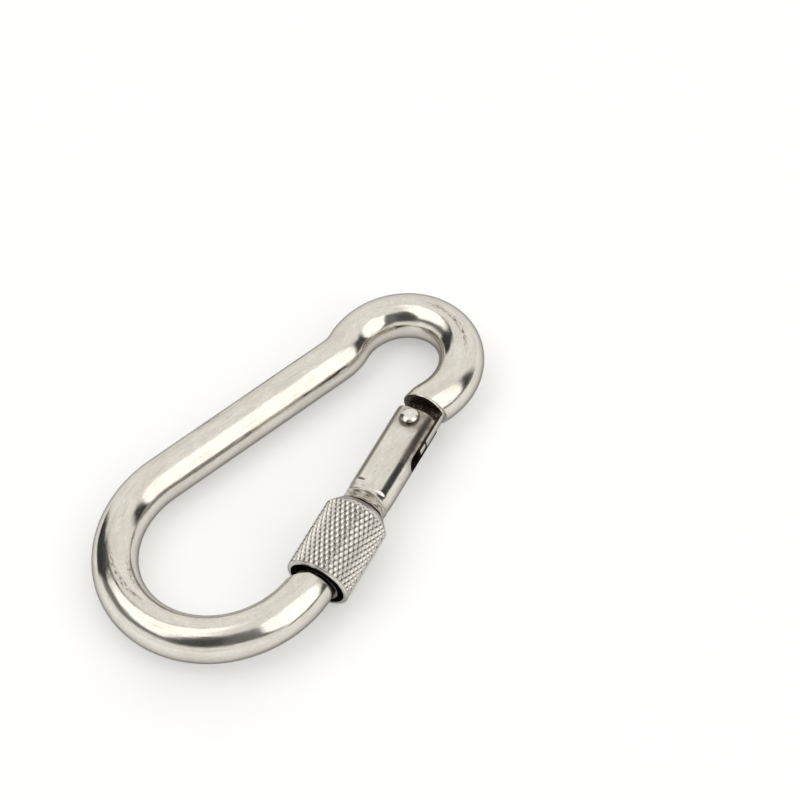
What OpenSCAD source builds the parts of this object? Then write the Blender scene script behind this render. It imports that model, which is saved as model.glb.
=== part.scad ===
// Screw-lock snap hook: a pear-shaped bar of round steel, closed by a sprung gate with a knurled lock nut.
//
// The hook is drawn flat first: the middle of the bar lies in the plane z = 0, the large bow turns about the
// origin, and the gate stands parallel to Y at x = gate_x, with its hinge at +Y. in_rest() then lays the whole
// hook on the ground, where it touches with both bows and the lock nut.

/* [Bar] */
// Diameter of the round bar
bar_d = 10; // [9:0.25:11]
// Radius of the large bow, to the middle of the bar
large_bow_r = 22.9; // [21.5:0.1:24]
// Radius of the small bow, to the middle of the bar
small_bow_r = 13.3; // [12.5:0.1:14.2]
// Sideways place of the small bow's centre
small_bow_x = 13.2; // [12.2:0.1:14.2]
// Place of the small bow's centre along the gate
small_bow_y = 57.1; // [55.5:0.1:60]
// How much more the straight spine leans than a line that touches both bows, in degrees
spine_lean = 2.45; // [1:0.05:4]
// Radius of the reverse bend between the spine and the small bow
spine_bend_r = 9.9; // [8:0.1:12]
// Radius of the reverse bend between the small bow and the hinge shoulder
neck_bend_r = 6; // [5.6:0.1:8]
// How far short of that bend's end the shoulder is cut
neck_trim = 0.8; // [0.6:0.05:0.9]

/* [Nose and latch] */
// End of the nose, measured from the large bow's centre along the gate
nose_y = -0.55; // [-1.2:0.05:-0.3]
// Slope of the nose's bevelled inner half, in degrees
nose_bevel = 24.5; // [15:0.5:30]
// Start of the bevel, measured outwards from the gate's axis
bevel_x = -0.3; // [-0.6:0.1:0.2]
// Gap between the nose and the gate's end
latch_gap = 0.4; // [0.35:0.05:0.6]
// Thickness of the latch head's stem
latch_stem_t = 2.2; // [1.8:0.1:2.6]
// Thickness of the latch head
latch_head_t = 4.4; // [3.6:0.1:4.8]
// Height of the latch head
latch_head_h = 1.7; // [1.2:0.1:2]
// Depth that the latch head reaches into the nose
latch_depth = 4; // [3.4:0.1:4.4]
// Place of the latch head's outer end, measured from the gate's axis
latch_reach = 1.5; // [0.8:0.1:1.8]
// Play around the latch head
latch_play = 0.2; // [0.15:0.05:0.3]

/* [Gate] */
// Place of the gate's axis, measured from the large bow's centre
gate_x = 23.65; // [23.2:0.05:24.2]
// Diameter of the gate, also of its thread's crests
gate_d = 10; // [9.5:0.1:10.5]
// Thickness over the gate's two flats
flat_t = 8.7; // [8.2:0.1:9.2]
// Start of the flats, measured from the large bow's centre
flat_y = 23.2; // [22.9:0.1:24.5]
// Radius of the flats' curved run-out
flat_runout_r = 1.6; // [1:0.1:2.5]
// Length of the gate beyond the hinge's axis
gate_heel = 2.35; // [2:0.05:2.6]
// Rounding of the gate's hinge end
gate_edge = 0.6; // [0.3:0.1:1]
// Width of the fork and of the outer slot
slot_w = 3.9; // [3.6:0.1:4.2]
// Depth of the fork below the hinge's axis
fork_depth = 7.2; // [6.6:0.1:7.6]
// Length of the outer slot below the hinge's axis
slot_depth = 9.9; // [9.2:0.1:10.4]

/* [Hinge] */
// Distance from the hinge's axis to the bar's shoulder
shoulder_gap = 5.2; // [5:0.1:5.5]
// Thickness of the tongue
tongue_t = 3.4; // [3:0.1:3.5]
// Inner side of the tongue, measured from the hinge's axis
tongue_in = 3.2; // [2.8:0.1:3.4]
// Step from the shoulder's rim down to the tongue's outer side
tongue_step = 0.1; // [0.05:0.05:0.4]
// Tail of the tongue below the hinge's axis
tongue_tail = 2.9; // [2.6:0.1:3.2]
// Rounding of the tail's outer corner
tail_round = 1; // [0.6:0.1:1.4]
// Diameter of the rivet's shank
rivet_d = 3; // [2.6:0.1:3.2]
// Diameter of the rivet's heads
rivet_head_d = 3.9; // [3.7:0.1:4.4]
// Height of the rivet's heads
rivet_head_h = 0.95; // [0.6:0.05:1.1]
// Running play between rivet and tongue, on the radius
rivet_play = 0.05; // [0.02:0.01:0.1]

/* [Spring and plunger] */
// Diameter of the spring's bore
bore_d = 3.7; // [3.5:0.1:3.8]
// Place of the bore, measured outwards from the gate's axis
bore_x = 0.9; // [0.4:0.1:1.1]
// Bottom of the bore, measured from the large bow's centre
bore_y = 24.7; // [24:0.1:27]
// Outer diameter of the spring
spring_d = 3.4; // [3.1:0.1:3.4]
// Diameter of the spring's wire
wire_d = 0.5; // [0.4:0.05:0.55]
// Coils of the spring
coils = 8; // [6:1:10]
// Height of the plunger's head
plunger_h = 2.2; // [1.8:0.1:2.4]
// Length of the plunger's stem
plunger_stem = 4; // [2:0.1:5]
// Diameter of the plunger's stem
plunger_stem_d = 2; // [1.6:0.1:2.1]
// Play between the plunger and its neighbours
plunger_play = 0.1; // [0.05:0.01:0.15]

/* [Lock nut] */
// Outer diameter of the lock nut
nut_d = 14.5; // [14:0.1:15]
// Lower end of the nut, measured from the large bow's centre
nut_y = 0; // [-0.1:0.05:0.25]
// Length of the nut
nut_len = 19.1; // [17.5:0.1:19.3]
// Diameter of the nut's wide mouth
mouth_d = 12.6; // [12.3:0.1:12.8]
// Depth of the nut's wide mouth
mouth_depth = 7.5; // [6:0.1:9]
// Play between the thread's crests and the nut, on the radius
thread_play = 0.06; // [0.03:0.01:0.1]
// Height of the cone at the nut's top
top_cone_h = 2.2; // [1.5:0.1:2.6]
// Width of the land at the nut's top
top_land = 0.4; // [0.3:0.1:0.8]
// Height of the smooth band at the nut's mouth
rim_h = 0.9; // [0.6:0.1:1.2]
// Chamfer of the mouth's outer edge
rim_edge = 0.45; // [0.42:0.01:0.6]

/* [Hidden] */
$fn = 96;

bar_r = bar_d / 2;
gate_r = gate_d / 2;
nut_r = nut_d / 2;
small_bow = [small_bow_x, small_bow_y];

// Direction square to the line that touches both bows on the side away from the gate
rest_n = heading(small_bow) + acos((large_bow_r - small_bow_r) / norm(small_bow));

// Lean of the spine and its directions: across it, away from the gate, and along it, up to the small bow
lean = fine(180 - rest_n + spine_lean);
spine_n = [-cos(lean), sin(lean)];
spine_u = [sin(lean), cos(lean)];

// The reverse bend touches the spine's line on one side and the small bow on the other
spine_bend_out = large_bow_r + spine_bend_r;
spine_len = fine(spine_u * small_bow
    - sqrt(pow(small_bow_r + spine_bend_r, 2) - pow(spine_bend_out - spine_n * small_bow, 2)));
spine_bend = spine_n * spine_bend_out + spine_u * spine_len;

// The neck's bend touches the small bow on one side and the gate's axis on the other
neck_bend_x = gate_x + neck_bend_r;
neck_bend = [neck_bend_x, small_bow_y
    - sqrt(pow(small_bow_r + neck_bend_r, 2) - pow(neck_bend_x - small_bow_x, 2))];

// The shoulder is cut through the neck's bend, and the hinge follows the shoulder
shoulder_y = neck_bend[1] + neck_trim;
hinge_y = shoulder_y - shoulder_gap;
tail_y = hinge_y - tongue_tail;
gate_top = hinge_y + gate_heel;
gate_low = nose_y + latch_gap;
plunger_top = tail_y - plunger_play;
plunger_low = plunger_top - plunger_h;
nut_top = nut_y + nut_len;
nut_bore_r = gate_r + thread_play;

// Angles at which the small bow hands over to its two neighbours, and the turn of each bend
bow_to_spine = (heading(spine_bend - small_bow) + 360) % 360;
bow_to_neck = heading(neck_bend - small_bow);
spine_turn = fine(bow_to_spine - 180 + lean);
bow_turn = fine(bow_to_spine - bow_to_neck);
neck_turn = fine(-bow_to_neck);

// The hook rests on both bows, where that line touches them, and on the top edge of the nut's knurl
rest_nut_y = nut_top - top_cone_h;
rest_arm = large_bow_r - (cos(rest_n) * gate_x + sin(rest_n) * rest_nut_y);
rest_tilt = asin((nut_r - bar_r) / rest_arm);
rest_axis = [sin(rest_n), -cos(rest_n), 0];

function heading(v) = atan2(v[1], v[0]);

// Rounds to a thousandth
function fine(v) = round(v * 1000) / 1000;

// Row i of the rotation that lays the hook down
function rest_row(i) =
    let (c = cos(rest_tilt), s = -sin(rest_tilt), k = (1 - c) * rest_axis[i])
    [k * rest_axis[0] + (i == 0 ? c : i == 2 ? -s * rest_axis[1] : 0),
     k * rest_axis[1] + (i == 1 ? c : i == 2 ? s * rest_axis[0] : 0),
     i == 0 ? s * rest_axis[1] : i == 1 ? -s * rest_axis[0] : c];

// How far a bow reaches along direction e
function bow_reach(e, centre, r) = e[0] * centre[0] + e[1] * centre[1] + r * norm([e[0], e[1]]) + bar_r;

// Half of the difference between what the hook reaches to both sides along row axis i
function rest_middle(i) =
    let (e = rest_row(i))
    (bow_reach(e, small_bow, small_bow_r) - bow_reach(-e, [0, 0], large_bow_r)) / 2;

rest_shift = [-rest_middle(0), -rest_middle(1), large_bow_r * sin(rest_tilt) + bar_r];

module in_rest() {
    translate(rest_shift)
        rotate(a = -rest_tilt, v = rest_axis)
            children();
}

// Places a child that stands along +Z on the gate's axis, at y
module on_gate(y) {
    translate([gate_x, y, 0])
        rotate([-90, 0, 0])
            children();
}

// Bent bar: part of a ring about the origin, from angle a0 over angle da
module bar_bend(r, a0, da) {
    rotate([0, 0, a0])
        rotate_extrude(angle = da)
            translate([r, 0])
                circle(d = bar_d, $fn = 44);
}

// Weld bead, a hair proud of the bar, where two of its lengths meet, at the origin and along Y
module weld() {
    rotate([90, 0, 0])
        cylinder(r = bar_r + 0.02, h = 0.24, center = true, $fn = 44);
}

// Rod with one rounded end, along +Z
module round_ended_rod(r, h, edge) {
    cylinder(r = r, h = h - edge);
    cylinder(r = r - edge, h = h);
    translate([0, 0, h - edge])
        rotate_extrude()
            translate([r - edge, 0])
                circle(r = edge, $fn = 24);
}

// Slab of thickness t about the plane z = 0, over a range of x and y
module slab(x0, x1, y0, y1, t) {
    translate([x0, y0, -t / 2])
        cube([x1 - x0, y1 - y0, t]);
}

// Everything below the nose's end face: square to the gate outside, bevelled inside, moved up by lift
module below_nose_face(lift) {
    far = 4 * bar_d;
    drop = tan(nose_bevel) * far;
    translate([gate_x + bevel_x, nose_y + lift, 0])
        linear_extrude(height = 2 * far, center = true)
            polygon([[far, 0], [0, 0], [-far, -drop], [-far, -far], [far, -far]]);
}

// Latch head and stem as rings about the hinge's axis, which swing in and out with no change of gap
module latch_profile(play) {
    outer_r = hinge_y - nose_y + latch_depth + play;
    head_low = outer_r - latch_head_h - 2 * play;
    stem_top = hinge_y - gate_low - bar_r;
    translate([stem_top, -latch_stem_t / 2 - play])
        square([outer_r - stem_top, latch_stem_t + 2 * play]);
    translate([head_low, -latch_head_t / 2 - play])
        square([outer_r - head_low, latch_head_t + 2 * play]);
}

module latch_ring(x0, x1, play) {
    mid_r = hinge_y - nose_y + latch_depth / 2;
    a0 = asin(x0 / mid_r);
    a1 = asin(x1 / mid_r);
    translate([gate_x, hinge_y, 0])
        rotate([0, 0, a0 - 90])
            rotate_extrude(angle = a1 - a0, $fn = 360)
                latch_profile(play);
}

// Large bow, cut off at the nose, with the slot for the latch head
module large_bow() {
    far = 4 * bar_d;
    difference() {
        intersection() {
            bar_bend(large_bow_r, 180 - lean, 180 + lean + 12);
            union() {
                below_nose_face(0);
                slab(-2 * far, gate_x - bar_d, -far, 2 * far, far);
            }
        }
        latch_ring(-far / 2, latch_reach + latch_play, latch_play);
    }
}

// Rest of the bar as one chain: each length starts where the one before it ends
module spine_and_small_bow() {
    rotate([0, 0, -lean])
        translate([-large_bow_r, 0, 0]) {
            weld();
            rotate([-90, 0, 0])
                cylinder(d = bar_d, h = spine_len, $fn = 44);
            translate([-spine_bend_r, spine_len, 0]) {
                bar_bend(spine_bend_r, 0, spine_turn);
                translate([spine_bend_r, 0, 0])
                    weld();
                rotate([0, 0, spine_turn])
                    translate([spine_bend_r + small_bow_r, 0, 0]) {
                        bar_bend(small_bow_r, 180 - bow_turn, bow_turn);
                        translate([-small_bow_r, 0, 0])
                            weld();
                        rotate([0, 0, 180 - bow_turn])
                            translate([small_bow_r + neck_bend_r, 0, 0]) {
                                bar_bend(neck_bend_r, 180, neck_turn);
                                translate([-neck_bend_r, 0, 0])
                                    weld();
                            }
                    }
            }
        }
}

// Cuts the neck's bend square, for the shoulder's face
module cut_to_shoulder() {
    difference() {
        children();
        slab(gate_x - bar_d, gate_x + bar_d, tail_y, shoulder_y, 2 * bar_d);
    }
}

module tongue() {
    root = 0.5;
    difference() {
        intersection() {
            on_gate(tail_y)
                cylinder(r = bar_r - tongue_step, h = shoulder_y + root - tail_y);
            slab(gate_x - tongue_in, gate_x + bar_d, tail_y, shoulder_y + bar_d, tongue_t);
            translate([gate_x, hinge_y, 0])
                linear_extrude(height = bar_d, center = true)
                    tongue_outline();
        }
        translate([gate_x, hinge_y, -bar_d])
            cylinder(d = rivet_d + 2 * rivet_play, h = 2 * bar_d);
    }
}

module tongue_outline() {
    corner = [bar_r - tongue_step - tail_round, tail_round - tongue_tail];
    translate([-bar_r, -tongue_tail])
        square([bar_r + corner[0], shoulder_gap + tongue_tail + bar_d]);
    translate([-bar_r, corner[1]])
        square([2 * bar_r, shoulder_gap + tongue_tail + bar_d]);
    translate(corner)
        circle(r = tail_round);
}

module frame() {
    color([0.80, 0.78, 0.75])
        in_rest() {
            large_bow();
            cut_to_shoulder()
                spine_and_small_bow();
            tongue();
        }
}

// Milled flat on the gate's upper side, with its curved run-out
module flat_cut() {
    start = flat_y + sqrt(max(0.01, pow(flat_runout_r, 2) - pow(flat_runout_r - (gate_r - flat_t / 2), 2)));
    translate([gate_x - gate_d, start, flat_t / 2])
        cube([2 * gate_d, gate_top, gate_d]);
    translate([gate_x - gate_d, start, flat_t / 2 + flat_runout_r])
        rotate([0, 90, 0])
            cylinder(r = flat_runout_r, h = 2 * gate_d);
}

// Fork for the tongue, open to both sides, and the outer slot, milled with a round end
module gate_slots() {
    slot_r = slot_w / 2;
    slab(gate_x - gate_d, gate_x + gate_d, hinge_y - fork_depth, gate_top + gate_d, slot_w);
    slab(gate_x + bore_x, gate_x + gate_d, hinge_y - slot_depth + slot_r, hinge_y, slot_w);
    translate([gate_x + bore_x, hinge_y - slot_depth + slot_r, 0])
        rotate([0, 90, 0])
            cylinder(d = slot_w, h = gate_d);
}

module gate() {
    color([0.80, 0.78, 0.75])
        in_rest() {
            difference() {
                on_gate(nose_y - gate_d)
                    round_ended_rod(gate_r, gate_top - nose_y + gate_d, gate_edge);
                below_nose_face(latch_gap);
                flat_cut();
                mirror([0, 0, 1])
                    flat_cut();
                gate_slots();
                translate([bore_x, 0, 0])
                    on_gate(bore_y)
                        cylinder(d = bore_d, h = gate_top);
                translate([gate_x, hinge_y, -gate_d])
                    cylinder(d = rivet_d, h = 2 * gate_d);
            }
            intersection() {
                latch_ring(1 - gate_r, latch_reach, 0);
                on_gate(nose_y - gate_d)
                    cylinder(r = gate_r - 0.1, h = 2 * gate_d);
            }
        }
}

module hinge_rivet() {
    color([0.86, 0.84, 0.81])
        in_rest()
            translate([gate_x, hinge_y, 0]) {
                cylinder(d = rivet_d, h = flat_t, center = true);
                for (side = [0, 1])
                    mirror([0, 0, side])
                        translate([0, 0, flat_t / 2])
                            round_ended_rod(rivet_head_d / 2, rivet_head_h, rivet_head_h / 2.5);
            }
}

module plunger() {
    head_t = slot_w - 2 * plunger_play;
    color([0.78, 0.76, 0.73])
        in_rest() {
            intersection() {
                on_gate(plunger_low)
                    cylinder(r = gate_r - 2 * plunger_play, h = plunger_h);
                slab(gate_x - tongue_in - plunger_play, gate_x + gate_r, plunger_low, plunger_top, head_t);
            }
            translate([bore_x, 0, 0])
                on_gate(plunger_low - plunger_stem)
                    cylinder(d = plunger_stem_d, h = plunger_stem + plunger_h / 2);
        }
}

// Helix of the spring, swept as rings of points
module spring_helix(r, wire_r, length, turns) {
    sides = 6;
    steps = turns * 14;
    rise = (length - 2 * wire_r) / steps;
    rings = [for (i = [0 : steps])
        let (a = 360 * turns * i / steps)
        for (k = [0 : sides - 1])
            let (b = 360 * k / sides, rr = r + wire_r * cos(b))
            [rr * cos(a), rr * sin(a), wire_r + rise * i + wire_r * sin(b)]];
    walls = [for (i = [0 : steps - 1])
        for (k = [0 : sides - 1])
            let (n = (k + 1) % sides, j = i * sides)
            [j + k, j + n, j + n + sides, j + k + sides]];
    start = [for (k = [sides - 1 : -1 : 0]) k];
    end = [for (k = [0 : sides - 1]) steps * sides + k];
    polyhedron(points = rings, faces = concat(walls, [start], [end]), convexity = 4);
}

module return_spring() {
    seat = 0.02;
    color([0.45, 0.44, 0.43])
        in_rest()
            translate([bore_x, 0, 0])
                on_gate(bore_y + seat)
                    spring_helix((spring_d - wire_d) / 2, wire_d / 2, plunger_low - bore_y - 2 * seat, coils);
}

module lock_nut() {
    mouth_r = mouth_d / 2;
    band_r = nut_r - 0.2;
    color([0.66, 0.65, 0.63])
        in_rest()
            on_gate(nut_y)
                rotate_extrude()
                    polygon([
                        [mouth_r, 0],
                        [band_r - rim_edge, 0],
                        [band_r, rim_edge],
                        [band_r, rim_h],
                        [nut_r, rim_h + 0.2],
                        [nut_r, nut_len - top_cone_h],
                        [nut_bore_r + top_land, nut_len],
                        [nut_bore_r, nut_len],
                        [nut_bore_r, mouth_depth],
                        [mouth_r, mouth_depth - (mouth_r - nut_bore_r)]
                    ]);
}

frame();
gate();
hinge_rivet();
plunger();
return_spring();
lock_nut();
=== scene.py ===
# Screw-lock carabiner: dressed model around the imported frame, with its metals, studio and camera.
# Pieces are modelled flat, with the middle of the bar in the plane z = 0, and then laid down as they rest.

import math

import bpy
from mathutils import Matrix, Vector


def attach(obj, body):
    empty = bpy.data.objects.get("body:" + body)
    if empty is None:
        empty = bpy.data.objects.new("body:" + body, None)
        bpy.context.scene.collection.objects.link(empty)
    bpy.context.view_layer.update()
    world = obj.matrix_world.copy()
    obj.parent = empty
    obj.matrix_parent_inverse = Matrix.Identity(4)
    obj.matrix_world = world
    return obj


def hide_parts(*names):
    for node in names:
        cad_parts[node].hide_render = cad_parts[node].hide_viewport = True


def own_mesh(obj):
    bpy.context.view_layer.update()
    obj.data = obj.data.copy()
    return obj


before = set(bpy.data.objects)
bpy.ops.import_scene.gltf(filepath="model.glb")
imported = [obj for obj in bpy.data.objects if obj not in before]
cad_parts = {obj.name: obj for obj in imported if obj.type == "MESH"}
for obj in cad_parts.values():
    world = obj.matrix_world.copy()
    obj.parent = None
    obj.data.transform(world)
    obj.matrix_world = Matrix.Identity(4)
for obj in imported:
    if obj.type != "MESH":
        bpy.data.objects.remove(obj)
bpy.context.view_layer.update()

MM = 0.001

# Sizes in millimetres, as in the solids
BAR_R = 5.0
LARGE_BOW_R = 22.9
SMALL_BOW_R = 13.3
SMALL_BOW = Vector((13.2, 57.1))
SPINE_LEAN = math.radians(24.894)
SPINE_BEND_R = 9.9
NECK_BEND_R = 6.0
NECK_TRIM = 0.8
SHOULDER_GAP = 5.2
GATE_X = 23.65
NOSE_Y = -0.55
BEVEL_X = -0.3
NOSE_BEVEL = math.radians(24.5)
LATCH_GAP = 0.4
FLAT_T = 8.7
FLAT_Y = 23.2
NUT_R = 7.25
NUT_Y = 0.0
NUT_LEN = 19.1
TOP_CONE_H = 2.2
RIVET_R = 1.5
BORE_R = 1.85
BORE_X = 0.9
BORE_LOW = 24.7
LATCH_DEPTH = 4.0
LATCH_ROUND_R = 4.9
TONGUE_HALF = 1.6
TONGUE_TAIL = 2.9
SLICE_INNER = 3.2
SLOT_HALF = 1.95
SLOT_DEPTH = 9.9
FORK_DEPTH = 7.2
PLUNGER_HALF = 1.85
PLUNGER_H = 2.2


def heading(v):
    """Angle of a direction in the flat plane."""
    return math.atan2(v[1], v[0])


# Path of the bar
spine_out = Vector((-math.cos(SPINE_LEAN), math.sin(SPINE_LEAN)))
spine_up = Vector((math.sin(SPINE_LEAN), math.cos(SPINE_LEAN)))
bend_out = LARGE_BOW_R + SPINE_BEND_R
spine_len = spine_up.dot(SMALL_BOW) - math.sqrt(
    (SMALL_BOW_R + SPINE_BEND_R) ** 2 - (bend_out - spine_out.dot(SMALL_BOW)) ** 2
)
spine_bend = spine_out * bend_out + spine_up * spine_len
neck_x = GATE_X + NECK_BEND_R
neck_bend = Vector(
    (neck_x, SMALL_BOW.y - math.sqrt((SMALL_BOW_R + NECK_BEND_R) ** 2 - (neck_x - SMALL_BOW.x) ** 2))
)
SHOULDER_Y = neck_bend.y + NECK_TRIM
HINGE_Y = SHOULDER_Y - SHOULDER_GAP
GATE_TOP = HINGE_Y + 2.35
bow_to_spine = heading(spine_bend - SMALL_BOW) % (2 * math.pi)
bow_to_neck = heading(neck_bend - SMALL_BOW)
spine_turn = bow_to_spine - math.pi + SPINE_LEAN
bow_turn = bow_to_spine - bow_to_neck
neck_turn = -bow_to_neck

# How the hook lies: on both bows and on the top edge of the lock nut's knurl
rest_n = heading(SMALL_BOW) + math.acos((LARGE_BOW_R - SMALL_BOW_R) / SMALL_BOW.length)
rest_arm = LARGE_BOW_R - (math.cos(rest_n) * GATE_X + math.sin(rest_n) * (NUT_Y + NUT_LEN - TOP_CONE_H))
rest_tilt = math.asin((NUT_R - BAR_R) / rest_arm)
turn = Matrix.Rotation(-rest_tilt, 3, Vector((math.sin(rest_n), -math.cos(rest_n), 0)))


def bow_reach(e, centre, r):
    """How far the bar of a bow reaches in the direction e."""
    return e[0] * centre[0] + e[1] * centre[1] + r * math.hypot(e[0], e[1]) + BAR_R


def off_middle(e):
    """How far the hook's middle lies from the large bow's centre, in the direction e."""
    return (bow_reach(e, SMALL_BOW, SMALL_BOW_R) - bow_reach(-e, (0, 0), LARGE_BOW_R)) / 2


shift = Vector((-off_middle(turn[0]), -off_middle(turn[1]), LARGE_BOW_R * math.sin(rest_tilt) + BAR_R))
REST = Matrix.Translation(shift * MM) @ turn.to_4x4()
ON_GATE = Matrix.Translation(Vector((GATE_X, 0, 0)) * MM) @ Matrix.Rotation(-math.pi / 2, 4, "X")


def take(obj):
    """Makes obj the only selected object."""
    bpy.ops.object.select_all(action="DESELECT")
    obj.select_set(True)
    bpy.context.view_layer.objects.active = obj
    return obj


def place(obj, matrix):
    """Puts obj where matrix says, with its place in its mesh."""
    obj.data.transform(matrix @ obj.matrix_world)
    obj.matrix_world = Matrix.Identity(4)
    return obj


def tidy_faces(obj):
    """Merges doubles and turns the faces outwards."""
    take(obj)
    bpy.ops.object.mode_set(mode="EDIT")
    bpy.ops.mesh.select_all(action="SELECT")
    bpy.ops.mesh.remove_doubles(threshold=1e-6)
    bpy.ops.mesh.normals_make_consistent(inside=False)
    bpy.ops.object.mode_set(mode="OBJECT")
    return obj


def turned(name, profile, steps, closed=False):
    """Turned piece about Z: one ring for each (height, radius) of its profile, capped or closed on itself."""
    bpy.ops.mesh.primitive_circle_add(
        vertices=steps, radius=profile[0][1] * MM, fill_type="NOTHING", location=(0, 0, profile[0][0] * MM)
    )
    obj = bpy.context.object
    obj.name = name
    bpy.ops.object.transform_apply()
    bpy.ops.object.mode_set(mode="EDIT")
    bpy.ops.mesh.select_all(action="SELECT")
    if not closed:
        bpy.ops.mesh.edge_face_add()
    rings = profile[1:] + (profile[:1] if closed else [])
    low = profile[0]
    for ring in rings:
        bpy.ops.mesh.extrude_region_move(TRANSFORM_OT_translate={"value": (0, 0, (ring[0] - low[0]) * MM)})
        k = ring[1] / low[1]
        bpy.ops.transform.resize(value=(k, k, 1), center_override=(0, 0, ring[0] * MM))
        low = ring
    bpy.ops.object.mode_set(mode="OBJECT")
    return tidy_faces(obj)


def flat_face(name, points):
    """One face through the points, to be drawn out or swung into a piece."""
    mesh = bpy.data.meshes.new(name)
    mesh.from_pydata([(x * MM, y * MM, z * MM) for x, y, z in points], [], [tuple(range(len(points)))])
    obj = bpy.data.objects.new(name, mesh)
    bpy.context.scene.collection.objects.link(obj)
    return take(obj)


def prism(name, outline, z0, z1):
    """Upright block over an outline in the flat plane."""
    obj = flat_face(name, [(x, y, z0) for x, y in outline])
    bpy.ops.object.mode_set(mode="EDIT")
    bpy.ops.mesh.select_all(action="SELECT")
    bpy.ops.mesh.extrude_region_move(TRANSFORM_OT_translate={"value": (0, 0, (z1 - z0) * MM)})
    bpy.ops.object.mode_set(mode="OBJECT")
    return tidy_faces(obj)


def block(name, x0, x1, y0, y1, z0, z1):
    return prism(name, [(x0, y0), (x1, y0), (x1, y1), (x0, y1)], z0, z1)


def rod(name, radius, length, start, along, steps=64):
    """Plain rod from start, towards along."""
    axis = Vector(along).normalized()
    middle = Vector(start) + axis * length / 2
    bpy.ops.mesh.primitive_cylinder_add(vertices=steps, radius=radius * MM, depth=length * MM)
    obj = bpy.context.object
    obj.name = name
    return place(obj, Matrix.Translation(middle * MM) @ axis.to_track_quat("Z", "Y").to_matrix().to_4x4())


def cut(obj, *tools, operation="DIFFERENCE"):
    """Cuts obj with each tool, and removes the tool."""
    for tool in tools:
        mod = obj.modifiers.new("cut", "BOOLEAN")
        mod.operation = operation
        mod.object = tool
        mod.solver = "EXACT"
        take(obj)
        bpy.ops.object.modifier_apply(modifier=mod.name)
        bpy.data.objects.remove(tool)
    return obj


def soften(obj, width, segments=3, angle=40):
    """Rounds the sharp edges of obj."""
    mod = obj.modifiers.new("soft_edges", "BEVEL")
    mod.width = width * MM
    mod.segments = segments
    mod.limit_method = "ANGLE"
    mod.angle_limit = math.radians(angle)
    take(obj)
    bpy.ops.object.modifier_apply(modifier=mod.name)
    return obj


def write_attribute(obj, name, kind, value):
    """Keeps value(co) with every point of obj, for its metal to read; co is in millimetres."""
    attribute = obj.data.attributes.new(name, kind, "POINT")
    values = [value(v.co / MM) for v in obj.data.vertices]
    if kind == "FLOAT":
        attribute.data.foreach_set("value", values)
    else:
        attribute.data.foreach_set("vector", [part for v in values for part in v])


def gate_grain(co):
    return co.y, co.x - GATE_X, co.z


def faces_inwards(c, n):
    """True in the bores and slots of the gate and the nut, where a face looks towards the gate's axis."""
    return (c.x - GATE_X) * n.x + c.z * n.z < -0.5


def clad(obj, metal, dark=None):
    """Gives a piece its metal, and the near-black recess metal, dull and with painted shade, to faces for
    which dark(middle, normal) holds.
    """
    obj.data.materials.clear()
    obj.data.materials.append(metal)
    if dark:
        obj.data.materials.append(shaded_recess_steel)
        for face in obj.data.polygons:
            face.material_index = int(dark(face.center / MM, face.normal))
    return obj


def finish_piece(obj, body, nodes, along=gate_grain, angle=32):
    """Gives a piece its grain, smooth faces, place and body."""
    write_attribute(obj, "grain", "FLOAT_VECTOR", along)
    take(obj)
    bpy.ops.object.shade_smooth_by_angle(angle=math.radians(angle))
    place(obj, REST)
    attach(obj, body)
    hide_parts(*nodes)
    return obj


# ---------------------------------------------------------------- metals


class Graph:
    """Short words for building a node tree."""

    def __init__(self, tree):
        self.tree = tree
        self.nodes = tree.nodes

    def add(self, kind, **settings):
        node = self.nodes.new(kind)
        for key, value in settings.items():
            setattr(node, key, value)
        return node

    def feed(self, socket, value):
        """Sets a socket to a number or colour, or links it to another socket."""
        if isinstance(value, bpy.types.NodeSocket):
            self.tree.links.new(value, socket)
        else:
            socket.default_value = value

    def op(self, kind, *values):
        node = self.add("ShaderNodeMath", operation=kind)
        for socket, value in zip(node.inputs, values):
            self.feed(socket, value)
        return node.outputs[0]

    def ramp(self, value, low, high, a=0.0, b=1.0, kind="LINEAR"):
        """Goes from a to b while value goes from low to high, and stays there."""
        node = self.add("ShaderNodeMapRange", interpolation_type=kind)
        for socket, v in zip(node.inputs, (value, low, high, a, b)):
            self.feed(socket, v)
        return node.outputs["Result"]

    def noise(self, vector, stretch, detail=3.0, rough=0.6):
        """Noise with so many grains per millimetre along the piece and across it."""
        mapping = self.add("ShaderNodeMapping")
        mapping.inputs["Scale"].default_value = stretch
        self.feed(mapping.inputs["Vector"], vector)
        node = self.add("ShaderNodeTexNoise")
        node.inputs["Scale"].default_value = 1.0
        node.inputs["Detail"].default_value = detail
        node.inputs["Roughness"].default_value = rough
        self.feed(node.inputs["Vector"], mapping.outputs["Vector"])
        return node.outputs["Fac"]

    def tint(self, factor, a, b):
        """Colour a where factor is 0 and b where it is 1."""
        node = self.add("ShaderNodeMix", data_type="RGBA")
        self.feed(node.inputs["Factor"], factor)
        self.feed(node.inputs["A"], a if isinstance(a, bpy.types.NodeSocket) else (*a, 1))
        self.feed(node.inputs["B"], (*b, 1))
        return node.outputs["Result"]


def shade(colour, *by):
    return tuple(c * k for c, k in zip(colour, by * (3 if len(by) == 1 else 1)))


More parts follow.
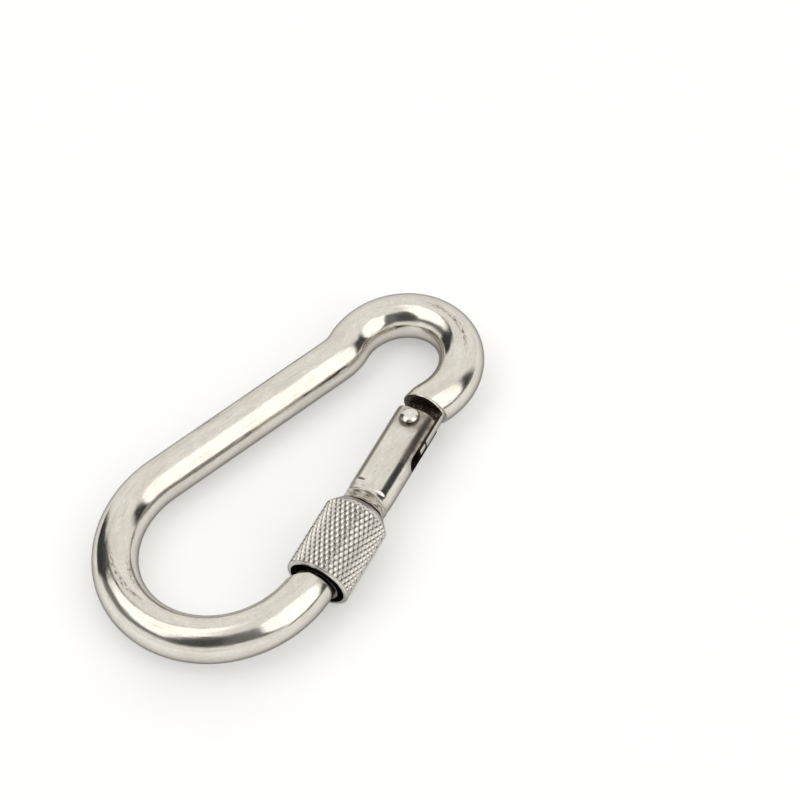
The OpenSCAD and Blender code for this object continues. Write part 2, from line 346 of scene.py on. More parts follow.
def steel(name, colour, roughness, scratch=0.5, pits=0.5, lumps=1.0, edge=0.12, wear_and_shade=None, mottling=0.5):
    """Stainless steel: drawing marks along the piece, mottling, pits, worn patches, soft edges, painted shade
    darkening its underside, and further marks and painted shade from a given function.
    """
    mat = bpy.data.materials.new(name)
    mat.use_nodes = True
    g = Graph(mat.node_tree)
    bsdf = g.nodes["Principled BSDF"]
    bsdf.inputs["Metallic"].default_value = 1.0
    bsdf.inputs["Specular Tint"].default_value = (0.34, 0.34, 0.36, 1)
    along = g.add("ShaderNodeAttribute", attribute_name="grain").outputs["Vector"]
    groove = g.add("ShaderNodeAttribute", attribute_name="groove").outputs["Fac"]

    mottle = g.noise(along, (1.3, 2.6, 2.6), 2.0, 0.7)
    streak = g.noise(along, (0.08, 2.4, 2.4), 4.0, 0.6)
    brush = g.noise(along, (0.5, 7.0, 7.0), 2.0)
    patch = g.noise(along, (0.10, 0.22, 0.22), 3.0)
    lump = g.noise(along, (0.13, 0.32, 0.32), 2.0, 0.5)
    speck = g.noise(along, (1.5, 2.2, 2.2), 2.0, 0.5)

    worn = g.ramp(patch, 0.48, 0.66)
    pit = g.ramp(g.op("ADD", speck, g.op("MULTIPLY", worn, 0.10)), 0.78, 0.84)
    line = g.ramp(streak, 0.60, 0.78)
    cloud = g.ramp(g.noise(along, (0.22, 0.55, 0.55), 4.0, 0.65), 0.36, 0.64)
    fine = g.op("MULTIPLY", g.ramp(mottle, 0.34, 0.66), mottling)
    tone = g.op("ADD", fine, g.op("MULTIPLY", cloud, 1 - mottling))
    base = g.tint(tone, shade(colour, 1.05), shade(colour, 0.86, 0.85, 0.845))
    base = g.tint(g.op("MULTIPLY", worn, 0.5), base, shade(colour, 0.84, 0.82, 0.79))
    split = g.add("ShaderNodeSeparateXYZ")
    g.feed(split.inputs[0], along)
    # Painted shade: the colour darkens towards the underside, from z = 3 mm down to z = -1 mm, standing in
    # for the shadowed floor it reflects.
    base = g.tint(g.ramp(split.outputs[2], -1.0, 3.0, 0.42, 0.0), base, shade(colour, 0.42, 0.41, 0.40))
    mark = g.op("MAXIMUM", g.op("MULTIPLY", pit, pits), g.op("MULTIPLY", line, scratch * 0.6))
    # A given function may add marks and painted shade: its marks darken like the pits, its painted shade like
    # the grooves.
    if wear_and_shade:
        marks_and_shade, painted_dark = wear_and_shade(g, along, split.outputs)
        mark = g.op("MAXIMUM", mark, marks_and_shade)
        groove = g.op("MAXIMUM", groove, painted_dark)
    # Pits, scratch lines and the given marks darken the colour; on the gate the given marks include painted
    # shade along the flat's inner edge.
    base = g.tint(mark, base, shade(colour, 0.30, 0.27, 0.235))
    # Painted shade: the groove attribute darkens the colour most, as does the painted shade from a given
    # function. The attribute is written in the knurl's grooves, at the rivet's rim and on the thread inside
    # the nut.
    g.feed(bsdf.inputs["Base Color"], g.tint(groove, base, shade(colour, 0.12, 0.10, 0.085)))

    rough = g.ramp(brush, 0.3, 0.7, roughness - 0.03, roughness + 0.04)
    rough = g.op("ADD", rough, g.op("MULTIPLY", worn, 0.06))
    rough = g.op("ADD", rough, g.op("MULTIPLY", mark, 0.14))
    g.feed(bsdf.inputs["Roughness"], rough)

    soft = g.add("ShaderNodeBevel", samples=4)
    soft.inputs["Radius"].default_value = edge * MM
    swell = g.add("ShaderNodeBump")
    swell.inputs["Distance"].default_value = 0.045 * MM * lumps
    g.feed(swell.inputs["Height"], lump)
    g.feed(swell.inputs["Normal"], soft.outputs["Normal"])
    marks = g.add("ShaderNodeBump")
    marks.inputs["Distance"].default_value = 0.006 * MM
    height = g.op("ADD", g.op("MULTIPLY", brush, scratch), g.op("MULTIPLY", streak, scratch * 1.5))
    height = g.op("ADD", height, g.op("MULTIPLY", mottle, 0.8))
    g.feed(marks.inputs["Height"], g.op("SUBTRACT", height, g.op("MULTIPLY", pit, 2.5)))
    g.feed(marks.inputs["Normal"], swell.outputs["Normal"])
    g.feed(bsdf.inputs["Normal"], marks.outputs["Normal"])
    return mat


def hinge_marks_and_shade(g, grain, parts):
    """Darker mottled brown over the hinge end of the gate and beside its slot, with spots; painted shade
    along the flat's inner edge, a painted shadow round the rivet and a painted dark reflection at the flat's
    end.

    Its places are in millimetres: up from the large bow's centre, and across from the gate's axis.
    """
    up, across = parts[0], parts[1]

    def away(y, x, reach_y, reach_x):
        """Distance from a point, as a share of how far the dirt reaches."""
        dy = g.op("DIVIDE", g.op("SUBTRACT", up, y), reach_y)
        dx = g.op("DIVIDE", g.op("SUBTRACT", across, x), reach_x)
        return g.op("SQRT", g.op("ADD", g.op("MULTIPLY", dy, dy), g.op("MULTIPLY", dx, dx)))

    blotch = g.ramp(g.noise(grain, (0.7, 0.7, 0.7), 4.0, 0.7), 0.36, 0.62, 0.5, 1.0)
    heel = g.ramp(up, 38.3, 41.0, 0.0, 1.0, "SMOOTHSTEP")
    heel = g.op("MULTIPLY", heel, g.ramp(across, -1.4, 1.0, 0.5, 1.0))
    spots = g.op("MULTIPLY", g.ramp(g.noise(grain, (0.5, 0.9, 0.9), 3.0), 0.60, 0.70), 0.24)
    # Painted shade: a dark line along the inner edge of the flat, from just above its lower end.
    edge = g.op("MULTIPLY", g.ramp(across, -3.9, -3.3), g.ramp(across, -2.9, -2.5, 0.75, 0.0))
    edge = g.op("MULTIPLY", edge, g.ramp(up, FLAT_Y + 0.8, FLAT_Y + 1.8))
    beside = g.op("MULTIPLY", g.ramp(up, 31.0, 35.0), g.ramp(across, 2.6, 3.5))
    dark_mottle = g.op("MULTIPLY", g.op("MAXIMUM", heel, beside), blotch)
    marks_and_shade = g.op("MAXIMUM", dark_mottle, g.op("MAXIMUM", spots, edge))
    # Painted shadow of the rivet's head: a dark ring round the rivet, set a little below its axis.
    ring = g.ramp(away(HINGE_Y - 0.3, 0.1, 2.75, 2.5), 0.82, 1.0, 0.85, 0.0, "SMOOTHSTEP")
    # Painted dark reflection on the run-out at the lower end of the flat, towards its inner side.
    lens = g.ramp(away(24.55, -2.1, 0.36, 1.05), 0.75, 1.05, 0.85, 0.0, "SMOOTHSTEP")
    return marks_and_shade, g.op("MAXIMUM", ring, lens)


# Rubbed lines on the bar: start, end and side place along its path, drift of the side place, half width
RUBS = [
    (45, 64, -1.7, 0.1, 0.7),
    (49, 62, -2.8, -0.06, 0.5),
    (96, 105, 2.6, 0.0, 0.9),
    (110, 129, 3.3, 0.0, 0.5),
    (157, 175, 0.5, 0.07, 0.6),
]


def bar_rubs(g, grain, parts):
    """Broken lines of small scratches where the bar has rubbed, on its upper side."""
    s, side, z = parts
    total = 0.0
    for start, end, place_from, drift, half in RUBS:
        middle = g.op("ADD", g.op("MULTIPLY", g.op("SUBTRACT", s, start), drift), place_from)
        off = g.op("ABSOLUTE", g.op("SUBTRACT", side, middle))
        line = g.op("MULTIPLY", g.ramp(off, half * 0.4, half, 1.0, 0.0), g.ramp(s, start, start + 3))
        total = g.op("MAXIMUM", total, g.op("MULTIPLY", line, g.ramp(s, end - 3, end, 1.0, 0.0)))
    broken = g.ramp(g.noise(grain, (0.9, 3.2, 3.2), 3.0, 0.6), 0.48, 0.60)
    smear = g.op("MULTIPLY", total, g.op("ADD", g.op("MULTIPLY", broken, 0.85), 0.10))
    return g.op("MULTIPLY", smear, g.ramp(z, 1.0, 2.5)), 0.0


def dark_recess():
    """Unpolished, oily metal of slots, bores and cut faces, near black: partly its own dull colour, partly
    painted shade of the recesses.
    """
    mat = bpy.data.materials.new("shaded_recess_steel")
    mat.use_nodes = True
    g = Graph(mat.node_tree)
    bsdf = g.nodes["Principled BSDF"]
    bsdf.inputs["Metallic"].default_value = 0.8
    along = g.add("ShaderNodeAttribute", attribute_name="grain").outputs["Vector"]
    crust = g.noise(along, (2.2, 2.2, 2.2), 4.0, 0.7)
    # The near-black colour is oily metal and painted shade together; the lighter one is bare metal.
    oil_in_shade, bare = (0.028, 0.020, 0.013), (0.30, 0.25, 0.20)
    g.feed(bsdf.inputs["Base Color"], g.tint(g.ramp(crust, 0.52, 0.74), oil_in_shade, bare))
    g.feed(bsdf.inputs["Roughness"], g.ramp(crust, 0.4, 0.7, 0.62, 0.35))
    bump = g.add("ShaderNodeBump")
    bump.inputs["Distance"].default_value = 0.03 * MM
    g.feed(bump.inputs["Height"], crust)
    g.feed(bsdf.inputs["Normal"], bump.outputs["Normal"])
    return mat


bar_steel = steel("bar_steel", (0.80, 0.772, 0.708), 0.10, scratch=0.8, pits=0.55, lumps=1.35, wear_and_shade=bar_rubs)
gate_steel = steel(
    "gate_steel", (0.79, 0.762, 0.70), 0.11, scratch=0.7, pits=0.4, lumps=0.5, wear_and_shade=hinge_marks_and_shade, mottling=0.3
)
rivet_steel = steel("rivet_steel", (0.86, 0.835, 0.79), 0.17, scratch=0.3, pits=0.9, lumps=2.0)
nut_steel = steel("nut_steel", (0.77, 0.75, 0.705), 0.17, scratch=0.2, pits=0.3, lumps=0.3, edge=0.03)
thread_steel = steel("thread_steel", (0.70, 0.67, 0.61), 0.18, scratch=0.2, pits=0.6, lumps=0.3, edge=0.03)
spring_steel = steel("spring_steel", (0.36, 0.34, 0.32), 0.3, scratch=0.2, pits=0.2)
shaded_recess_steel = dark_recess()


# ---------------------------------------------------------------- bar


def bar_grain(co):
    """Straightens the bar: distance along its path, and the place in its round section."""
    flat = Vector((co.x, co.y))
    best = None
    start = 0.0
    for kind, centre, r, a0, da in BAR_PATH:
        if kind == "bend":
            v = flat - centre
            a = (heading(v) - a0) * (1 if da > 0 else -1)
            a = (a + math.pi) % (2 * math.pi) - math.pi if abs(da) < math.pi else a % (2 * math.pi)
            t = min(max(a, 0), abs(da))
            at = a0 + t * math.copysign(1, da)
            on = centre + Vector((math.cos(at), math.sin(at))) * r
            length, s = abs(da) * r, t * r
            side = (v.length - r) * (1 if da < 0 else -1)
        else:
            t = min(max((flat - centre).dot(a0), 0), r)
            on = centre + a0 * t
            length, s = r, t
            side = (flat - on).dot(Vector((-a0.y, a0.x)))
        off = abs(math.hypot((flat - on).length, co.z) - BAR_R)
        if best is None or off < best[0] - 1e-4:
            best = (off, start + s, side)
        start += length
    return best[1], best[2], co.z


NOSE_START = math.radians(9)
bow_end = math.pi + SPINE_LEAN
BAR_PATH = [
    ("bend", Vector((0, 0)), LARGE_BOW_R, NOSE_START, -(NOSE_START + bow_end)),
    ("line", spine_out * LARGE_BOW_R, spine_len, spine_up, 0),
    ("bend", spine_bend, SPINE_BEND_R, -SPINE_LEAN, spine_turn),
    ("bend", SMALL_BOW, SMALL_BOW_R, bow_to_spine, -bow_turn),
    ("bend", neck_bend, NECK_BEND_R, math.pi + bow_to_neck, neck_turn),
]


def bend_bar(centre, angle, step=2.5):
    """Spins the selected ring about an upright axis; a positive angle turns clockwise."""
    bpy.ops.mesh.spin(
        steps=max(4, round(abs(math.degrees(angle)) / step)),
        angle=angle,
        center=(centre[0] * MM, centre[1] * MM, 0),
        axis=(0, 0, 1),
    )


def make_bar():
    bpy.ops.mesh.primitive_circle_add(
        vertices=96,
        radius=BAR_R * MM,
        fill_type="NOTHING",
        location=(LARGE_BOW_R * math.cos(NOSE_START) * MM, LARGE_BOW_R * math.sin(NOSE_START) * MM, 0),
        rotation=(math.pi / 2, 0, NOSE_START),
    )
    bar = bpy.context.object
    bar.name = "bar"
    bpy.ops.object.transform_apply()
    bpy.ops.object.mode_set(mode="EDIT")
    bpy.ops.mesh.select_all(action="SELECT")
    bpy.ops.mesh.edge_face_add()
    bend_bar((0, 0), NOSE_START + bow_end)
    spine_steps = 16
    step = spine_up * spine_len * MM / spine_steps
    for _ in range(spine_steps):
        bpy.ops.mesh.extrude_region_move(TRANSFORM_OT_translate={"value": (step.x, step.y, 0)})
    bend_bar(spine_bend, -spine_turn, 3)
    bend_bar(SMALL_BOW, bow_turn)
    bend_bar(neck_bend, -neck_turn, 4)
    bpy.ops.object.mode_set(mode="OBJECT")
    tidy_faces(bar)
    gap = latch_block("latch_slot", 0.2, -20, 1.7)
    collar_h, collar_r, edge = 0.45, 4.97, 0.3
    neck_cut = block("neck_cut", GATE_X - 10, GATE_X + 10, HINGE_Y, SHOULDER_Y + collar_h, -10, 10)
    cut(bar, nose_face_cutter(0), gap, neck_cut)
    profile = [(0, 3.0)]
    profile += [
        (edge - edge * math.cos(math.radians(a)), collar_r - edge + edge * math.sin(math.radians(a)))
        for a in range(0, 91, 15)
    ]
    profile += [(collar_h + 0.1, collar_r)]
    on_shoulder = Matrix.Translation(Vector((0, SHOULDER_Y, 0)) * MM) @ ON_GATE
    return cut(bar, place(turned("collar", profile, 128), on_shoulder), operation="UNION")


def nose_face_cutter(lift):
    """Everything above the nose's end face, beside the gate's axis."""
    y = NOSE_Y + lift
    far, top = 9, 20
    drop = math.tan(NOSE_BEVEL) * far
    x = GATE_X + BEVEL_X
    outline = [(x + far, y), (x + far, top), (x - far, top), (x - far, y - drop), (x, y)]
    return prism("above_nose", outline, -far, far)


def latch_block(name, play, x0, x1):
    """T-shaped block swung about the hinge: the latch head, or with play its slot."""
    outer = HINGE_Y - NOSE_Y + LATCH_DEPTH + play
    top = HINGE_Y - NOSE_Y - LATCH_GAP - BAR_R
    neck_z, head_z = 1.1 + play, 2.2 + play
    head = outer - 1.7 - 2 * play
    middle = HINGE_Y - NOSE_Y + LATCH_DEPTH / 2
    a0, a1 = math.asin(x0 / middle), math.asin(x1 / middle)
    side = [(top, -neck_z), (head, -neck_z), (head, -head_z), (outer, -head_z)]
    outline = side + [(r, -z) for r, z in reversed(side)]
    obj = flat_face(name, [(r, 0, z) for r, z in outline])
    place(obj, Matrix.Rotation(a0 - math.pi / 2, 4, "Z"))
    bpy.ops.object.mode_set(mode="EDIT")
    bpy.ops.mesh.select_all(action="SELECT")
    bpy.ops.mesh.spin(steps=24, angle=-(a1 - a0), center=(0, 0, 0), axis=(0, 0, 1))
    bpy.ops.object.mode_set(mode="OBJECT")
    place(obj, Matrix.Translation(Vector((GATE_X, HINGE_Y, 0)) * MM))
    return tidy_faces(obj)


def shoulder_face(c, n):
    """The flat face of the shoulder, which looks down at the gate."""
    return n.y < -0.7 and abs(c.x - GATE_X) < 6 and SHOULDER_Y - 0.1 < c.y < SHOULDER_Y + 0.2


# The shoulder's flat face takes the near-black recess metal: painted shade where it looks down into the
# hinge.
bar = clad(make_bar(), bar_steel, shoulder_face)
finish_piece(bar, "frame", ["frame"], along=bar_grain)


# ---------------------------------------------------------------- tongue of the hinge


def slice_piece(name, radius, half, chamfer, y0, y1):
    """Slice of a round bar, from beyond its middle to its outside, with its long outer edges chamfered."""
    inner = -SLICE_INNER
    rim = math.sqrt(radius * radius - half * half) - chamfer
    corner = math.asin((half - chamfer) / radius)
    arc = [(radius * math.cos(a), radius * math.sin(a)) for a in [corner * (i / 12 - 1) for i in range(25)]]
    outline = [(inner, -half), (rim, -half), *arc, (rim, half), (inner, half)]
    return place(prism(name, outline, y0, y1), ON_GATE)


def make_tongue():
    tail = HINGE_Y - TONGUE_TAIL
    r = BAR_R - 0.1
    top = SHOULDER_Y + 1.0
    body = slice_piece("hinge_tongue", r, TONGUE_HALF, 0.6, tail, top)
    inner, outer = GATE_X - SLICE_INNER, GATE_X + r + 1
    corner = Vector((r - 1.0, tail + 1.0))
    outline = [(inner, tail), (GATE_X + corner.x, tail)]
    outline += [
        (GATE_X + corner.x + math.sin(a), corner.y - math.cos(a))
        for a in [math.radians(15 * i) for i in range(1, 7)]
    ]
    outline += [(outer, corner.y + 0.01), (outer, top + 1), (inner, top + 1)]
    cut(body, prism("tongue_outline", outline, -2, 2), operation="INTERSECT")
    cut(body, rod("pin_hole", RIVET_R + 0.05, 20, (GATE_X, HINGE_Y, -10), (0, 0, 1)))
    return body


def tongue_cheeks(c, n):
    """The tongue's flat sides, its tail and its inner edge."""
    return abs(n.z) > 0.45 or n.y < -0.6 or n.x < -0.9


# The tongue's flat sides, tail and inner edge take the near-black recess metal: painted shade in the gaps of
# the hinge.
tongue = clad(make_tongue(), bar_steel, tongue_cheeks)
finish_piece(tongue, "frame", ["frame"])


# ---------------------------------------------------------------- gate


def soft_flat(y, rise):
    """Reach of the gate's section at height y, where rise is 0 at its sides and 1 on the flats."""
    t = min(1.0, max(0.0, (y - FLAT_Y + 0.6) / 1.0))
    body = 4.90 + 0.10 * t * t * (3 - 2 * t)
    t = min(1.0, max(0.0, (y - FLAT_Y + 0.2) / 1.5))
    flat = 5.2 + (FLAT_T / 2 - 5.2) * (1 - (1 - t) ** 2)
    soft = 0.3
    return -soft * math.log(math.exp(-body / soft) + math.exp(-flat / max(rise, 0.05) / soft))


def make_gate_arm():
    top, low, edge = GATE_TOP, FLAT_Y - 1.2, 0.2
    steps = [low + 0.1 * i for i in range(26)]
    profile = [(y, BAR_R) for y in steps + list(range(26, 43, 2))]
    profile += [
        (top - edge + edge * math.sin(math.radians(a)), BAR_R - edge + edge * math.cos(math.radians(a)))
        for a in range(0, 91, 18)
    ]
    arm = turned("gate_arm", profile, 192)
    for v in arm.data.vertices:
        y, r = v.co.z / MM, math.hypot(v.co.x, v.co.y) / MM
        if r < 1:
            continue
        k = soft_flat(y, abs(v.co.y) / MM / r) / BAR_R
        v.co.x *= k
        v.co.y *= k
    place(arm, ON_GATE)
    slot = SLOT_HALF
    end = HINGE_Y - SLOT_DEPTH + slot
    cut(
        arm,
        block("fork_cutter", GATE_X - 9, GATE_X + 9, HINGE_Y - FORK_DEPTH, top + 5, -slot, slot),
        block("slot_cutter", GATE_X + BORE_X, GATE_X + 9, end, HINGE_Y, -slot, slot),
        rod("slot_end", slot, 8.1, (GATE_X + BORE_X, end, 0), (1, 0, 0), 48),
        rod("spring_bore", BORE_R, 30, (GATE_X + BORE_X, BORE_LOW, 0), (0, 1, 0), 48),
        rod("rivet_hole", RIVET_R, 20, (GATE_X, HINGE_Y, -10), (0, 0, 1), 48),
    )
    return arm


def gate_recesses(c, n):
    """The gate's bores and slots, with their ends."""
    slot_end = abs(n.y) > 0.5 and c.y < GATE_TOP - 0.3 and abs(c.z) < 2
    return faces_inwards(c, n) or slot_end


arm = clad(make_gate_arm(), gate_steel, gate_recesses)
finish_piece(arm, "gate", ["gate"])


def make_gate_thread():
    """Threaded lower length of the gate: fine rings, pressed in along the thread's helix."""
    pitch, crest, depth = 1.2, 4.95, 0.6
    low, high, steps = -8.0, FLAT_Y - 1.0, 96
    thread_low, rows_per_turn = 1.5, 12
    count = int((high - thread_low) / pitch * rows_per_turn) + 1
    rows = [low, 0.5] + [thread_low + i * pitch / rows_per_turn for i in range(count)]
    obj = turned("gate_thread", [(y, crest) for y in rows], steps)
    for v in obj.data.vertices:
        y = v.co.z / MM
        r = math.hypot(v.co.x, v.co.y) / MM
        if r < crest * 0.5 or y < thread_low - 0.01:
            continue
        a = math.atan2(-v.co.y, v.co.x)
        phase = ((y - 19.9) / pitch + (a - math.radians(40)) / (2 * math.pi)) % 1.0
        groove = min(1.0, max(0.0, (abs(phase - 0.5) * -2 + 1.0) * 1.35 - 0.12))
        fade = min(1.0, max(0.0, (high - 0.2 - y) / 0.6)) * min(1.0, (y - thread_low) / 1.5)
        k = (crest - 0.05 * (1 - fade) - depth * groove * fade) / r
        v.co.x *= k
        v.co.y *= k
    place(obj, ON_GATE)
    keep = nose_face_cutter(LATCH_GAP)
    cut(keep, block("thread_keep", GATE_X - 8, GATE_X + 8, 15, 40, -8, 8), operation="UNION")
    cut(obj, keep, operation="INTERSECT")
    # Painted shade: the thread darkens towards its lower end, inside the nut's mouth.
    write_attribute(obj, "groove", "FLOAT", lambda co: min(0.5, max(0.0, (10.0 - co.y) / 5.0)))
    return obj


thread = clad(make_gate_thread(), thread_steel)
finish_piece(thread, "gate", ["gate"])


def make_latch():
    head = latch_block("latch_head", 0.0, 1 - BAR_R, 1.5)
    round_side = rod("latch_round", LATCH_ROUND_R, 30, (GATE_X, -12, 0), (0, 1, 0), 96)
    return cut(head, round_side, operation="INTERSECT")


latch = clad(make_latch(), gate_steel)
finish_piece(latch, "gate", ["gate"])


# ---------------------------------------------------------------- rivet, plunger, spring


def make_rivet():
    """Rivet with a hammered head on each side: a low dome round a small dimple, with painted shade of dents
    in its rim.
    """
    half, r, h = FLAT_T / 2, 1.95, 0.95
    top = half + h
    side = [
        (half - 0.05, RIVET_R),
        (half - 0.05, r - 0.12),
        (half + 0.05, r - 0.02),
        (half + 0.44, r),
        (half + 0.53, r - 0.05),
        (half + 0.60, r - 0.15),
        (half + 0.76, r - 0.45),
        (top - 0.06, r - 0.70),
        (top - 0.01, r - 0.86),
        (top, r - 1.05),
        (top, 0.45),
        (top - 0.04, 0.25),
        (top - 0.07, 0.1),
    ]
    rivet = turned("rivet", [(-y, q) for y, q in reversed(side)] + side, 96)
    turns = [math.radians(a) for a in (202, 11, 285)]
    dents = [Vector((math.cos(a), math.sin(a))) * (r - 0.15) for a in turns]

    # Painted shade of dents: dark spots at three places round the rim of each head.
    def dent_shade(co):
        return max(max(0.0, 1.25 - (Vector((co.x, co.y)) - d).length / 0.32) for d in dents)

    def hollow_shade(co):
        return min(1.0, dent_shade(co)) if abs(co.z) > half + 0.3 else 0.0

    write_attribute(rivet, "groove", "FLOAT", hollow_shade)
    return place(rivet, Matrix.Translation(Vector((GATE_X, HINGE_Y, 0)) * MM))


rivet = clad(make_rivet(), rivet_steel)
finish_piece(rivet, "gate", ["hinge_rivet"])

PLUNGER_TOP = HINGE_Y - 3.0
PLUNGER_LOW = PLUNGER_TOP - PLUNGER_H


def make_plunger():
    head = slice_piece("plunger_piece", 4.8, PLUNGER_HALF, 1.1, PLUNGER_LOW, PLUNGER_TOP)
    stem = rod("plunger_stem", 1.0, 5.1, (GATE_X + BORE_X, PLUNGER_LOW - 4.0, 0), (0, 1, 0), 32)
    cut(head, stem, operation="UNION")
    return soften(head, 0.4)


def plunger_cheeks(c, n):
    """The plunger's sides, its underside and its stem."""
    return abs(n.z) > 0.5 or c.y < PLUNGER_LOW + 0.1


plunger = clad(make_plunger(), rivet_steel, plunger_cheeks)
finish_piece(plunger, "plunger", ["plunger"])


SPRING_X = GATE_X + BORE_X
SPRING_SEAT = 0.02
SPRING_LOW = BORE_LOW + SPRING_SEAT
SPRING_LEN = PLUNGER_LOW - SPRING_SEAT - SPRING_LOW


def make_spring():
    coils, r, wire, turn_steps = 8, 1.45, 0.25, 32
    curve = bpy.data.curves.new("spring_wire", "CURVE")
    curve.dimensions = "3D"
    curve.bevel_depth = wire * MM
    curve.bevel_resolution = 4
    curve.use_fill_caps = True
    line = curve.splines.new("POLY")
    count = coils * turn_steps
    line.points.add(count)
    for i in range(count + 1):
        a = 2 * math.pi * i / turn_steps
        y = SPRING_LOW + wire + (SPRING_LEN - 2 * wire) * i / count
        line.points[i].co = ((SPRING_X + r * math.cos(a)) * MM, y * MM, r * math.sin(a) * MM, 1)
    obj = bpy.data.objects.new("spring_coil", curve)
    bpy.context.scene.collection.objects.link(obj)
    take(obj)
    bpy.ops.object.convert(target="MESH")
    return tidy_faces(bpy.context.object)


spring = clad(make_spring(), spring_steel)
finish_piece(spring, "gate", ["return_spring"])
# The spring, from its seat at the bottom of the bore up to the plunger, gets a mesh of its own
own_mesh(spring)


# ---------------------------------------------------------------- lock nut


def make_nut():
    """Turned sleeve with two crossing rows of helical knurl grooves pressed into its outside."""
    starts, knurl_r, depth = 36, NUT_R, 0.42
    tan_helix = math.tan(math.radians(29.5))
    rim_h, top = 0.35, NUT_LEN - TOP_CONE_H
    mouth_r, bore_r, cone_r = 6.3, 5.03, 5.5
    steps = starts * 10
    lead = 2 * math.pi * knurl_r / starts / tan_helix
    rows = 135
    outside = [(rim_h + (top - rim_h) * i / rows, knurl_r) for i in range(rows + 1)]
    cone = [(top + TOP_CONE_H * k / 12, knurl_r + (cone_r - knurl_r) * k / 12) for k in range(1, 12)]
    profile = [
        (0.0, mouth_r),
        (0.0, 6.72),
        (0.08, 6.92),
        (0.2, 7.03),
        (rim_h - 0.05, 7.08),
        *outside,
        *cone,
        (NUT_LEN - 0.05, 5.42),
        (NUT_LEN, 5.3),
        (NUT_LEN, 5.08),
        (NUT_LEN - 0.12, bore_r),
        (7.5, bore_r),
        (6.23, mouth_r),
    ]
    nut = turned("knurled_nut", profile, steps, closed=True)

    def groove(co):
        """How deep each of the two rows of grooves presses in at a point, from 0 to 1."""
        y = co.z
        if math.hypot(co.x, co.y) < 5.6 or y < rim_h - 0.02:
            return 0.0, 0.0
        a = math.atan2(co.y, co.x) / (2 * math.pi) * starts
        left, right = (max(0.0, 1 - abs((a + k * y / lead) % 1.0 - 0.5) * 2 / 0.8) for k in (1, -1))
        fade = min(1.0, (y - rim_h) / 0.4 + 0.2)
        if y > top - 0.2:
            fade *= max(0.0, 1 - (y - top + 0.2) / 1.1)
        return left * fade, right * 0.9 * fade

    def hollow_shade(co):
        """Painted shade in the grooves, most where two of them cross."""
        rows = groove(co)
        return min(1.0, max(0.0, min(rows) - 0.2) * 1.5 + max(0.0, max(rows) - 0.6) * 0.8)

    write_attribute(nut, "groove", "FLOAT", hollow_shade)
    for v in nut.data.vertices:
        k = 1 - depth * max(groove(v.co / MM)) / max(math.hypot(v.co.x, v.co.y) / MM, 1.0)
        v.co.x *= k
        v.co.y *= k
    return place(nut, Matrix.Translation(Vector((0, NUT_Y, 0)) * MM) @ ON_GATE)


def nut_recesses(c, n):
    """The nut's bore and mouth, with the step between them."""
    step = n.y < -0.5 and 5.1 < math.hypot(c.x - GATE_X, c.z) < 6.25
    return faces_inwards(c, n) or step


nut = clad(make_nut(), nut_steel, nut_recesses)
finish_piece(nut, "lock_nut", ["lock_nut"], angle=28)


# ---------------------------------------------------------------- floor, studio and camera

bpy.ops.mesh.primitive_plane_add(size=6, location=(0, 0, -0.00002))
floor = bpy.context.object
floor.name = "floor"


def white_paper():
    """Matt white paper, with a soft glow where it is looked at and none where it lights the steel."""
    paper = bpy.data.materials.new("white_paper")
    paper.use_nodes = True
    g = Graph(paper.node_tree)
    g.nodes.clear()
    matt = g.add("ShaderNodeBsdfDiffuse")
    matt.inputs["Color"].default_value = (0.90, 0.90, 0.90, 1)
    glow = g.add("ShaderNodeEmission")
    glow.inputs["Color"].default_value = (1, 1, 1, 1)
    glow.inputs["Strength"].default_value = 0.27
    lit = g.add("ShaderNodeAddShader")
    g.feed(lit.inputs[0], matt.outputs[0])
    g.feed(lit.inputs[1], glow.outputs[0])
    path = g.add("ShaderNodeLightPath")
    seen = g.op("MAXIMUM", path.outputs["Is Camera Ray"], path.outputs["Is Glossy Ray"])
    mix = g.add("ShaderNodeMixShader")
    g.feed(mix.inputs["Fac"], g.op("MAXIMUM", seen, path.outputs["Is Transmission Ray"]))
    g.feed(mix.inputs[1], matt.outputs[0])
    g.feed(mix.inputs[2], lit.outputs[0])
    g.feed(g.add("ShaderNodeOutputMaterial").inputs["Surface"], mix.outputs[0])
    return paper


floor.data.materials.append(white_paper())


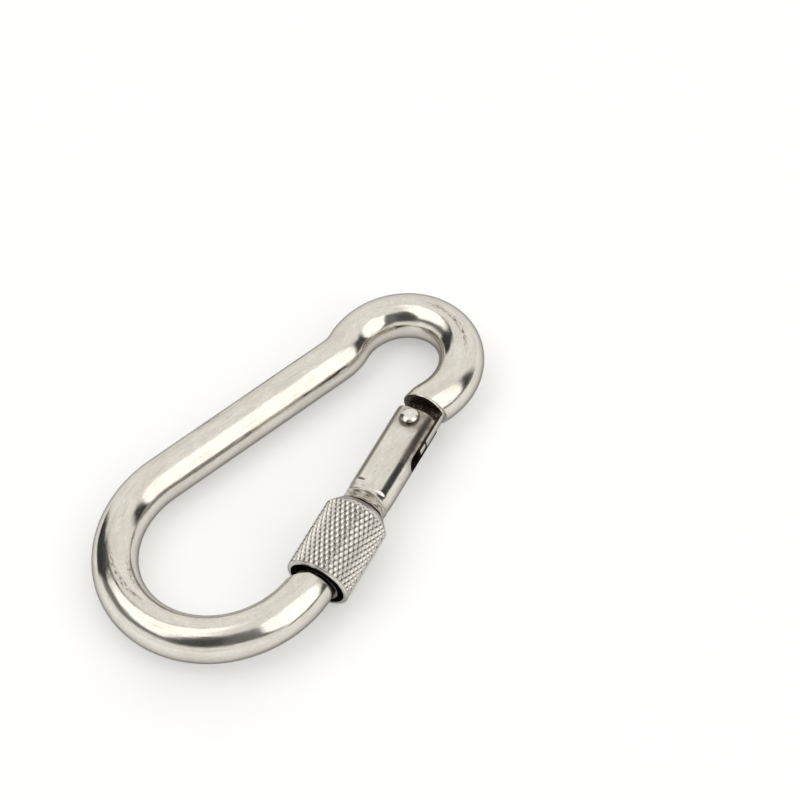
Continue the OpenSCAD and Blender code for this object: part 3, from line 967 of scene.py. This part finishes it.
def studio():
    """White room with two large soft lights, and dark gaps by them; all its angles are in degrees."""
    world = bpy.data.worlds.new("studio")
    bpy.context.scene.world = world
    world.use_nodes = True
    g = Graph(world.node_tree)
    g.nodes.clear()
    coords = g.add("ShaderNodeTexCoord")
    split = g.add("ShaderNodeSeparateXYZ")
    g.feed(split.inputs[0], coords.outputs["Generated"])
    x, y, z = split.outputs
    az = g.op("MODULO", g.op("ADD", g.op("DEGREES", g.op("ARCTAN2", x, y)), 360.0), 360.0)
    el = g.op("DEGREES", g.op("ARCSINE", z))

    def between(value, low, high, soft):
        """1 from low to high, with soft edges; low and high may follow another value."""
        rise = g.ramp(g.op("SUBTRACT", value, low), -soft, soft, kind="SMOOTHSTEP")
        fall = g.ramp(g.op("SUBTRACT", high, value), -soft, soft, kind="SMOOTHSTEP")
        return g.op("MULTIPLY", rise, fall)

    def line(value, a, va, b, vb):
        """Straight line through (a, va) and (b, vb)."""
        k = (vb - va) / (b - a)
        return g.op("ADD", g.op("MULTIPLY", value, k), va - k * a)

    def lay(base, mask, level):
        """Covers base with level where mask is 1."""
        return g.op("ADD", g.op("MULTIPLY", base, g.op("SUBTRACT", 1.0, mask)), g.op("MULTIPLY", mask, level))

    walls = 0.92
    # Dark room behind the camera
    dark_low = g.op("MINIMUM", 24.0, line(az, 112, 11, 150, 24))
    dark = g.op("MULTIPLY", between(az, line(el, 20, 112, 60, 124), 207, 4), between(el, dark_low, 72, 6))
    level = lay(walls, dark, 0.18)
    core = g.op("MULTIPLY", between(az, 158, 198, 10), between(el, 24, 60, 8))
    level = lay(level, core, 0.08)
    # Gap below the left light
    gap = g.op("MULTIPLY", between(az, 205, 262, 4), between(el, line(az, 210, 25, 262, 14), 38, 5))
    level = lay(level, gap, 0.20)
    # Dark wedge beyond the left light
    side = g.op("MAXIMUM", 260.0, line(el, 32, 262, 56, 300))
    far = g.op("MAXIMUM", 287.0, line(el, 35, 287, 56, 306))
    wedge = g.op("MULTIPLY", between(az, side, far, 3), between(el, -10, 56, 4))
    level = lay(level, wedge, 0.05)
    # Dark edge before the right light, and the thin dark line below it
    flap_end = g.ramp(el, 32, 64, 1.0, 0.0, "SMOOTHSTEP")
    flap = g.op("MULTIPLY", between(az, 49, line(el, -5, 90, 40, 63), 7), flap_end)
    level = lay(level, flap, 0.05)
    sill = g.op("MULTIPLY", between(az, 60, 108, 3), between(el, -8, 7, 2))
    level = lay(level, sill, 0.10)
    # Large soft lights on the right and on the left
    lights = 1.45
    right_sides = between(az, line(el, 8, 78, 50, 62), line(el, 10, 108, 30, 124), 3)
    right = g.op("MULTIPLY", right_sides, between(el, 9, 76, 3))
    right = g.op("MULTIPLY", right, g.ramp(az, 127, 123, kind="SMOOTHSTEP"))
    level = lay(level, right, lights)
    left_low = g.op("MAXIMUM", 38.0, line(az, 254, 36, 303, 58))
    left = g.op("MULTIPLY", between(az, 209, 304, 4), between(el, left_low, 76, 3))
    level = lay(level, left, lights)

    room = g.add("ShaderNodeBackground")
    room.inputs["Color"].default_value = (1, 0.99, 0.955, 1)
    g.feed(room.inputs["Strength"], level)
    end = g.add("ShaderNodeOutputWorld")
    g.feed(end.inputs["Surface"], room.outputs[0])


studio()


def make_camera():
    """Camera seen from the gate's side, turned with the hook as it lies."""
    azimuth, elevation, roll = (math.radians(a) for a in (39.45, 53.15, -13.89))
    aim = Vector((17.58, 48.15, 0)) * MM
    level = math.cos(elevation)
    back = Vector((math.sin(azimuth) * level, -math.cos(azimuth) * level, math.sin(elevation)))
    side = (-back).cross(Vector((0, 0, 1))).normalized()
    up = side.cross(-back)
    right = side * math.cos(roll) + up * math.sin(roll)
    top = -side * math.sin(roll) + up * math.cos(roll)
    pose = Matrix((right, top, back)).transposed().to_4x4()
    distance = 0.529
    pose.translation = aim + back * distance
    data = bpy.data.cameras.new("camera")
    data.sensor_width = 36
    data.lens = 109.215
    data.clip_start = 0.01
    data.clip_end = 20
    camera = bpy.data.objects.new("camera", data)
    bpy.context.scene.collection.objects.link(camera)
    camera.matrix_world = REST @ pose
    bpy.context.scene.camera = camera


make_camera()
bpy.context.scene.view_settings.view_transform = "Standard"
